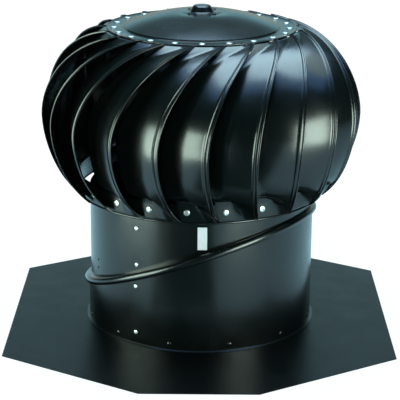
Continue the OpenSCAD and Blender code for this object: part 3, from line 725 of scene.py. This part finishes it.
class VENT_OT_cap(bpy.types.Operator):
    """Spin the domed cap with its riveting rim"""
    bl_idname = "ventilator.cap"
    bl_label = "Cap"

    def execute(self, context):
        rounds = context.scene.ventilator_sizes.rounds
        roll_at = (RIM_R - RIM_ROLL_R / 2, RIM_Z - CAP_T + RIM_ROLL_R)
        step = [(DOME_R - STEP_BEND, RIM_Z + STEP_BEND), (DOME_R + STEP_OUT, RIM_Z)]
        rim = [(roll_at[0] - RIM_ROLL_R - ROLL_BESIDE, RIM_Z)] + arc(roll_at, RIM_ROLL_R, 165, -90, 9)
        upper = [(CAP_HOLE_R, SEAT_Z)] + dome(0) + step + rim
        lower = [(DOME_R - STEP_UNDER, RIM_Z - CAP_T)] + dome(CAP_T)[::-1] + [(CAP_HOLE_R, SEAT_Z - CAP_T)]
        cap = revolve("spun_cap", upper + lower, finishes()["baked enamel"], rounds, 25)
        dress(cap, "rotor", "black_enamel", "cap")
        return {"FINISHED"}


class VENT_OT_hub_cover(bpy.types.Operator):
    """Press the cup that covers the shaft's end"""
    bl_idname = "ventilator.hub_cover"
    bl_label = "Hub cover"

    def execute(self, context):
        top = SEAT_Z + BOSS_H
        round_at = (BOSS_TOP_R, top - HUB_ROUND_R)
        foot_at = (BOSS_R + HUB_FOOT_R + HUB_DRAFT, SEAT_Z + SHEET_T + HUB_FOOT_R)
        outer = [(HUB_FLANGE_R, SEAT_Z), (HUB_FLANGE_R, SEAT_Z + FLANGE_EDGE),
                 (HUB_FLANGE_R - FLANGE_TAPER, SEAT_Z + SHEET_T)]
        outer += arc(foot_at, HUB_FOOT_R, -90, -160, 6)
        outer += arc(round_at, HUB_ROUND_R, 20, 90, 8) + [(POLE_R, top)]
        inner = [(POLE_R, top - SHEET_T)] + arc(round_at, HUB_ROUND_R - SHEET_T, 90, 20, 8)
        inner += [(BOSS_R - SHEET_T, SEAT_Z + HUB_FOOT_R), (BOSS_R - SHEET_T, SEAT_Z)]
        cover = revolve("hub_cup", outer + inner, finishes()["baked enamel"], HUB_ROUNDS)
        self.close_top(cover)
        dress(cover, "rotor", "black_enamel", "hub_cover")
        return {"FINISHED"}

    def close_top(self, cover):
        """Draws the small rings at the cup's top together on the axis."""
        shell = bmesh.new()
        shell.from_mesh(cover.data)
        bmesh.ops.holes_fill(shell, edges=shell.edges, sides=0)
        for v in shell.verts:
            if math.hypot(v.co.x, v.co.y) < POLE_R + 0.0001:
                v.co.x, v.co.y = 0, 0
        bmesh.ops.remove_doubles(shell, verts=shell.verts, dist=1e-6)
        shell.to_mesh(cover.data)
        shell.free()


class VENT_OT_ring(bpy.types.Operator):
    """Roll the flared ring that carries the blades' feet"""
    bl_idname = "ventilator.ring"
    bl_label = "Ring"

    def execute(self, context):
        shift = SHEET_T * math.tan(FLARE / 2)
        inside = FLARE_TOP - SHEET_T * FLARE_OUT
        lip = arc((RING_R - LIP_INSET, RING_Z), LIP_R, 70, -250, 20)
        outline = [(RING_R, FLARE_Z - BEND_DROP), (RING_R + BEND_OUT, FLARE_Z + BEND_RISE),
                   tuple(FLARE_TOP), tuple(inside), (RING_R - SHEET_T, FLARE_Z + shift)] + lip[::-1]
        ring = revolve("flared_ring", outline, finishes()["baked enamel"],
                       context.scene.ventilator_sizes.rounds)
        dress(ring, "rotor", "black_enamel", "rotor_ring")
        return {"FINISHED"}


# ---------- throat ----------

SWIVEL_AXIS = Vector(SWIVEL["axis"]).normalized()
TILT, TILT_AZ = math.acos(SWIVEL_AXIS.z), math.atan2(SWIVEL_AXIS.y, SWIVEL_AXIS.x)
JOINT_Z = SWIVEL["pos_m"][2]
AT_JOINT = (Matrix.Translation((0, 0, JOINT_Z)) @ Matrix.Rotation(TILT_AZ, 4, "Z")
            @ Matrix.Rotation(TILT, 4, "Y"))

# The upper section's rolled bead grips the lower one's curl, with a gap between them
BEAD_R, BEAD_INSET, JOINT_GAP, BEAD_WRAP = 0.0056, 0.0019, 0.0003, 48
BEAD_RHO = LOWER_R / math.cos(TILT) - BEAD_INSET
CURL_R = BEAD_R - SHEET_T - JOINT_GAP
NECK_TOP_Z = 0.194
FOOT_FLANGE_W, FOOT_BEND = 0.004, 0.0012
# Rows up a wall, outside and inside, and steps round the curl and the bead
OUTER_ROWS, INNER_ROWS, CURL_STEPS, BEAD_STEPS = 12, 4, 10, 14

# The seam's crisp edge and its slow fade, as places and widths along the wall
SEAM_EDGE, SEAM_CRISP, SEAM_END, SEAM_FADE = 0.0064, 0.0008, 0.042, 0.036
# More columns where the seam's edge is, in millimetres from its rivets
SEAM_COLUMNS = (-7.4, -6.8, -6.4, -6.2, -6.0, -5.8, -5.6, -5.2, -4.6)

# Drain holes, drawn a little wide so that they show
DRAIN_AZ, DRAIN_R, DRAIN_ZS = math.radians(-155), 0.0019, (0.0997, 0.0883)
DRILL_LENGTH = 0.008


def joint_height(r, az, h):
    """Height of the slanted plane, h above the joint, over a point of the wall."""
    normal = AT_JOINT.to_3x3() @ Vector((0, 0, 1))
    base = Vector((0, 0, JOINT_Z)) + normal * h
    at = polar(r, az, 0)
    return base.z - (normal.x * (at.x - base.x) + normal.y * (at.y - base.y)) / normal.z


def wall(r, az, z_from, z_to, rows):
    """Points up or down a wall at one azimuth."""
    return [polar(r, az, z_from + (z_to - z_from) * i / rows) for i in range(rows + 1)]


def rolled(r, az, start, end, steps):
    """Points round a rolled edge on the slanted joint, at one azimuth."""
    return [AT_JOINT @ polar(x, az - TILT_AZ, z) for x, z in arc((BEAD_RHO, 0), r, start, end, steps)]


def seam_step(az, r):
    """Height of the lapped sheet over the wall at this azimuth: a crisp edge, then a slow fade."""
    off = ((az - math.radians(SEAM_AZ) + math.pi) % math.tau - math.pi) * r
    return SHEET_T * smooth((off + SEAM_EDGE) / SEAM_CRISP) * smooth((SEAM_END - off) / SEAM_FADE)


def lower_outline(az):
    """Closed section of the lower throat: its foot flange, wall and curl, then back down inside."""
    r = LOWER_R
    inner = r - SHEET_T
    edge, over_flange = r + FOOT_FLANGE_W, FLASHING_T + SHEET_T
    flange = [(edge, FLASHING_T), (edge, over_flange), (r + FOOT_BEND, over_flange)]
    foot, top = over_flange + FOOT_BEND, joint_height(r, az, -CURL_R)
    outside = [polar(r, az, foot)] + wall(r + seam_step(az, r), az, foot, top, OUTER_ROWS)[1:]
    inside = wall(inner, az, joint_height(inner, az, SHEET_T - CURL_R), FLASHING_T, INNER_ROWS)
    return ([polar(x, az, z) for x, z in flange] + outside + rolled(CURL_R, az, -90, 90, CURL_STEPS)
            + rolled(CURL_R - SHEET_T, az, 90, -90, CURL_STEPS) + inside)


def upper_outline(az):
    """Closed section of the upper throat: its wall and bead, then back up inside."""
    r = UPPER_R
    inner = r - SHEET_T
    outside = wall(r + seam_step(az, r), az, NECK_TOP_Z, joint_height(r, az, BEAD_R), OUTER_ROWS)
    inside = wall(inner, az, joint_height(inner, az, BEAD_R - SHEET_T), NECK_TOP_Z, INNER_ROWS)
    return (outside + rolled(BEAD_R, az, 90, -BEAD_WRAP, BEAD_STEPS)
            + rolled(BEAD_R - SHEET_T, az, -BEAD_WRAP, 90, BEAD_STEPS) + inside)


class VENT_OT_throat(bpy.types.Operator):
    """Roll the two throat sections with their lapped seams and the slanted swivel bead"""
    bl_idname = "ventilator.throat"
    bl_label = "Throat"

    def execute(self, context):
        lower = self.make_section(context, "lower_throat", lower_outline)
        dress(lower, "base", "black_enamel", "lower_neck")
        upper = self.make_section(context, "upper_throat", upper_outline)
        self.drill(upper)
        dress(upper, "upper_section", "black_enamel", "upper_neck")
        return {"FINISHED"}

    def make_section(self, context, name, outline):
        """Joins a section's outlines all round the axis."""
        rounds = context.scene.ventilator_sizes.rounds
        even = {math.tau * k / rounds for k in range(rounds)}
        fine = {(math.radians(SEAM_AZ) + (x / 1000) / UPPER_R) % math.tau for x in SEAM_COLUMNS}
        rings = [outline(az) for az in sorted(even | fine)]
        points = [p for ring in rings for p in ring]
        faces = band_faces(len(rings), len(rings[0]))
        return outwards(new_mesh(name, points, faces, finishes()["baked enamel"], 30))

    def drill(self, section):
        """Cuts the drain holes through the wall."""
        bits = bmesh.new()
        for z in DRAIN_ZS:
            place = Matrix.Translation(polar(UPPER_R, DRAIN_AZ, z)) @ Matrix.Rotation(DRAIN_AZ, 4, "Z")
            bmesh.ops.create_cone(bits, cap_ends=True, segments=24, radius1=DRAIN_R, radius2=DRAIN_R,
                                  depth=DRILL_LENGTH, matrix=place @ Matrix.Rotation(math.pi / 2, 4, "Y"))
        mesh = bpy.data.meshes.new("drill_bits")
        bits.to_mesh(mesh)
        bits.free()
        cutter = placed("drill_bits", mesh)
        cut = section.modifiers.new("drain holes", "BOOLEAN")
        cut.operation = "DIFFERENCE"
        cut.solver = "EXACT"
        cut.object = cutter
        applied(section)
        bpy.data.objects.remove(cutter)


# ---------- flashing, label and inner parts ----------

FINISH_OF_SLOT = {
    "black_enamel": "baked enamel",
    "satin_enamel": "satin enamel",
    "bare_rivet": "drawn aluminium",
    "zinc_plate": "zinc plate",
    "bearing_steel": "ground steel",
    "cage_brass": "stamped brass",
    "white_label": "label film",
}


class VENT_OT_finish_parts(bpy.types.Operator):
    """Give the flashing, the blank label and the inner parts their finishes"""
    bl_idname = "ventilator.finish_parts"
    bl_label = "Flashing and inner parts"

    def execute(self, context):
        made = finishes()
        slots = {part["node"]: part["material_slot"] for part in frame["record"]["subparts"]}
        for name, node in frame["nodes"].items():
            node.data.materials.clear()
            node.data.materials.append(made[FINISH_OF_SLOT[slots[name]]])
        return {"FINISHED"}


# ---------- stage ----------

HEAD_CENTRE = Vector((0, 0, 0.3))

CAMERA_AT = (0.0028, -2.107, 0.824)
CAMERA_PITCH, CAMERA_ROLL = math.radians(17.2), math.radians(0.44)

FLOOR_HALF = 6.0
OVER_FLOOR = 0.001
# The floor's own tint, which reflections and the shadow show
FLOOR_TINT = "#C0DDEA"
# To the camera the floor is this share of plain white at the foot, and all white further out
WHITE_SHARE, WHITE_FROM, WHITE_ALL = 0.8, 0.4, 0.9
# A little over white, so that the floor's own shade near the foot doesn't dull it
FLOOR_GLOW = 1.1
AMBIENT = 0.3


def toward(azimuth, elevation, distance):
    """A point seen from the head in this direction, azimuth 0 towards the camera and 90 to the right."""
    a, e = math.radians(azimuth), math.radians(elevation)
    way = Vector((math.sin(a) * math.cos(e), -math.cos(a) * math.cos(e), math.sin(e)))
    return HEAD_CENTRE + distance * way


def soft_box(name, place, aim, width, height, brightness, hex_code):
    """A soft box aimed at a point. Brightness is what a mirror would show, 1 being white."""
    lamp = bpy.data.lights.new(name, "AREA")
    lamp.shape = "RECTANGLE"
    lamp.size, lamp.size_y = width, height
    lamp.energy = brightness * math.pi * width * height
    lamp.color = linear(hex_code)[:3]
    made = placed(name, lamp)
    made.location = place
    made.rotation_euler = (Vector(aim) - Vector(place)).to_track_quat("-Z", "Y").to_euler()
    made.visible_camera = False
    return made


def make_world(hex_code):
    """White to camera, glossy and transmission rays, and a dim even light to all others."""
    world = bpy.data.worlds.new("white studio")
    bpy.context.scene.world = world
    world.use_nodes = True
    tree = world.node_tree
    tree.nodes.clear()
    path = add(tree, "ShaderNodeLightPath")
    seen = add(tree, "ShaderNodeMath", {
        0: path.outputs["Is Camera Ray"], 1: path.outputs["Is Glossy Ray"]}, operation="MAXIMUM")
    either = add(tree, "ShaderNodeMath", {
        0: seen, 1: path.outputs["Is Transmission Ray"]}, operation="MAXIMUM")
    white = add(tree, "ShaderNodeBackground", {"Color": linear(hex_code), "Strength": 1.0})
    dim = add(tree, "ShaderNodeBackground", {"Color": linear(hex_code), "Strength": AMBIENT})
    mixed = add(tree, "ShaderNodeMixShader", {0: either, 1: dim, 2: white})
    add(tree, "ShaderNodeOutputWorld", {"Surface": mixed})


def empty_material(name):
    """A material with no nodes yet, and its tree."""
    material = bpy.data.materials.new(name)
    material.use_nodes = True
    material.node_tree.nodes.clear()
    return material, material.node_tree


def make_floor(hex_code):
    """A matt white floor. To the camera it is mostly its own white, so that only the shadow shows."""
    material, tree = empty_material("matt white floor")
    camera = add(tree, "ShaderNodeLightPath").outputs["Is Camera Ray"]
    matt = add(tree, "ShaderNodeBsdfDiffuse", {"Color": linear(FLOOR_TINT)})
    glow = add(tree, "ShaderNodeEmission", {"Color": linear(hex_code), "Strength": FLOOR_GLOW})
    at = add(tree, "ShaderNodeTexCoord").outputs["Object"]
    away = add(tree, "ShaderNodeVectorMath", {0: at}, operation="LENGTH")
    fade = add(tree, "ShaderNodeMapRange", {
        "Value": away, "From Min": WHITE_FROM, "From Max": WHITE_ALL,
        "To Min": WHITE_SHARE, "To Max": 1.0})
    whitened = add(tree, "ShaderNodeMath", {0: camera, 1: fade}, operation="MULTIPLY")
    mixed = add(tree, "ShaderNodeMixShader", {0: whitened, 1: matt, 2: glow})
    add(tree, "ShaderNodeOutputMaterial", {"Surface": mixed})
    corners = [(x * FLOOR_HALF, y * FLOOR_HALF, 0) for x, y in ((-1, -1), (1, -1), (1, 1), (-1, 1))]
    new_mesh("floor", corners, [(0, 1, 2, 3)], material)


def card(name, points, faces, hex_code, brightness):
    """A studio card or wall that only reflections show, with an even brightness of its own."""
    material, tree = empty_material(name)
    glow = add(tree, "ShaderNodeEmission", {"Color": linear(hex_code), "Strength": brightness})
    add(tree, "ShaderNodeOutputMaterial", {"Surface": glow})
    made = new_mesh(name, points, faces, material)
    made.visible_camera = False
    made.visible_shadow = False
    made.visible_diffuse = False
    return made


def spare(glow, node):
    """Flags a glowing card off one part, so that its glare doesn't lie on that part."""
    reach = bpy.data.collections.new(glow.name + " reach")
    reach.objects.link(node)
    reach.collection_objects[0].light_linking.link_state = "EXCLUDE"
    glow.light_linking.receiver_collection = reach


def panel(name, azimuth, elevation, distance, width, height, hex_code, brightness):
    """A flat card that stands upright and faces the head, and leaves no glare on the flashing."""
    centre = toward(azimuth, elevation, distance)
    across = Vector((math.cos(math.radians(azimuth)), math.sin(math.radians(azimuth)), 0)) * width / 2
    up = Vector((0, 0, height / 2))
    corners = [centre - across - up, centre + across - up, centre + across + up, centre - across + up]
    spare(card(name, corners, [(0, 1, 2, 3)], hex_code, brightness), frame["nodes"]["flashing"])


def ceiling_card(name, x, y, z, hex_code, brightness):
    """A level card overhead, between two values of x and of y."""
    corners = [(x[0], y[0], z), (x[1], y[0], z), (x[1], y[1], z), (x[0], y[1], z)]
    card(name, corners, [(0, 1, 2, 3)], hex_code, brightness)


def floor_fan(name, azimuths, reach, hex_code, brightness, step=4):
    """A card just over the floor, round the foot between two azimuths and between two radii."""
    ways = [math.radians(a) for a in range(azimuths[0], azimuths[1] + step, step)]
    points = [(r * math.sin(a), -r * math.cos(a), OVER_FLOOR) for a in ways for r in reach]
    faces = [(i, i + 1, i + 3, i + 2) for i in range(0, len(points) - 2, 2)]
    card(name, points, faces, hex_code, brightness)


def curved_wall(name, radius, azimuths, elevations, hex_code, brightness, step=5):
    """Part of a ball round the head, between two azimuths and two elevations."""
    columns = range(azimuths[0], azimuths[1] + step, step)
    rows = range(elevations[0], elevations[1] + step, step)
    points = [toward(a, e, radius) for e in rows for a in columns]
    wide = len(columns)
    faces = [(i, i + 1, i + wide + 1, i + wide) for i in range(len(points) - wide) if (i + 1) % wide]
    card(name, points, faces, hex_code, brightness)


def make_camera():
    """A long lens, a little above the head and tipped down at it."""
    lens = bpy.data.cameras.new("camera")
    lens.sensor_width = 36.0
    lens.lens = 141.6
    lens.shift_x, lens.shift_y = -0.0065, -0.0095
    lens.clip_end = 50
    camera = placed("camera", lens)
    tip_down = Matrix.Rotation(math.pi / 2 - CAMERA_PITCH, 4, "X")
    camera.matrix_world = Matrix.Translation(CAMERA_AT) @ tip_down @ Matrix.Rotation(CAMERA_ROLL, 4, "Z")
    bpy.context.scene.camera = camera


def make_lights():
    """A big soft box over the head, and a fill that no reflection shows."""
    soft_box("overhead soft box", place=(0, 0.18, 1.78), aim=(0, 0.18, 0),
             width=1.38, height=1.08, brightness=10, hex_code="#D7FAFF")
    fill = soft_box("front fill", place=(-0.4, -2.2, 0.9), aim=(0, 0, 0.2),
                    width=0.5, height=0.5, brightness=42, hex_code="#FFFFFF")
    fill.visible_glossy = False


def make_cards():
    """What the gloss mirrors: cards overhead, two bright panels, and the studio's walls and floor."""
    ceiling_card("overhead side panel", (0.69, 1.3), (-0.2, 0.72), 1.78, "#D7FAFF", 3.2)
    ceiling_card("blue overhead border", (-1.0, 1.45), (-0.75, 0.9), 1.8, "#7FB8FF", 2.6)
    panel("left panel", azimuth=-59.5, elevation=-4.3, distance=0.8,
          width=0.64, height=0.5, hex_code="#E0FCEC", brightness=13)
    panel("right panel", azimuth=40, elevation=-0.5, distance=0.9,
          width=0.46, height=0.54, hex_code="#E6FFF2", brightness=16)
    curved_wall("dark studio", 4.5, (-140, 140), (-5, 90), "#7FB4B8", 0.1)
    curved_wall("grey studio wall", 4.6, (140, 220), (20, 90), "#A6D2DE", 0.4)
    curved_wall("pale studio wall", 4.6, (140, 220), (10, 20), "#8CC4D2", 1.85)
    curved_wall("bright horizon", 4.6, (140, 220), (-5, 10), "#DCE8DA", 0.75)
    floor_fan("dark floor card", (-36, 12), (0.31, 4.4), "#7FB4B8", 0.25)


class VENT_OT_stage(bpy.types.Operator):
    """Set the floor, the background, the lights and the camera"""
    bl_idname = "ventilator.stage"
    bl_label = "Stage"

    def execute(self, context):
        backdrop = context.scene.ventilator_colours.backdrop
        make_world(backdrop)
        make_floor(backdrop)
        make_lights()
        make_cards()
        make_camera()
        context.scene.view_settings.view_transform = "Standard"
        return {"FINISHED"}


# ---------- panel and start ----------

OPERATORS = (VENT_OT_stage, VENT_OT_blades, VENT_OT_rivets, VENT_OT_cap, VENT_OT_hub_cover, VENT_OT_ring,
             VENT_OT_throat, VENT_OT_finish_parts)


class VENT_PT_panel(bpy.types.Panel):
    """Lists the sizes, the colours and the operators"""
    bl_idname = "VENT_PT_panel"
    bl_label = "Roof turbine ventilator"
    bl_space_type = "VIEW_3D"
    bl_region_type = "UI"
    bl_category = "Ventilator"

    def draw(self, context):
        for group in (context.scene.ventilator_sizes, context.scene.ventilator_colours):
            for name in group.bl_rna.properties.keys():
                if name not in ("rna_type", "name"):
                    self.layout.prop(group, name)
        for operator in OPERATORS:
            self.layout.operator(operator.bl_idname)


CLASSES = (VentilatorSizes, VentilatorColours) + OPERATORS + (VENT_PT_panel,)


def register():
    for one in CLASSES:
        bpy.utils.register_class(one)
    bpy.types.Scene.ventilator_sizes = bpy.props.PointerProperty(type=VentilatorSizes)
    bpy.types.Scene.ventilator_colours = bpy.props.PointerProperty(type=VentilatorColours)


def unregister():
    del bpy.types.Scene.ventilator_sizes
    del bpy.types.Scene.ventilator_colours
    for one in reversed(CLASSES):
        bpy.utils.unregister_class(one)


def main():
    register()
    bpy.ops.ventilator.stage()
    bpy.ops.ventilator.blades()
    bpy.ops.ventilator.rivets()
    bpy.ops.ventilator.cap()
    bpy.ops.ventilator.hub_cover()
    bpy.ops.ventilator.ring()
    bpy.ops.ventilator.throat()
    bpy.ops.ventilator.finish_parts()
    bpy.context.view_layer.update()


if __name__ == "__main__":
    main()
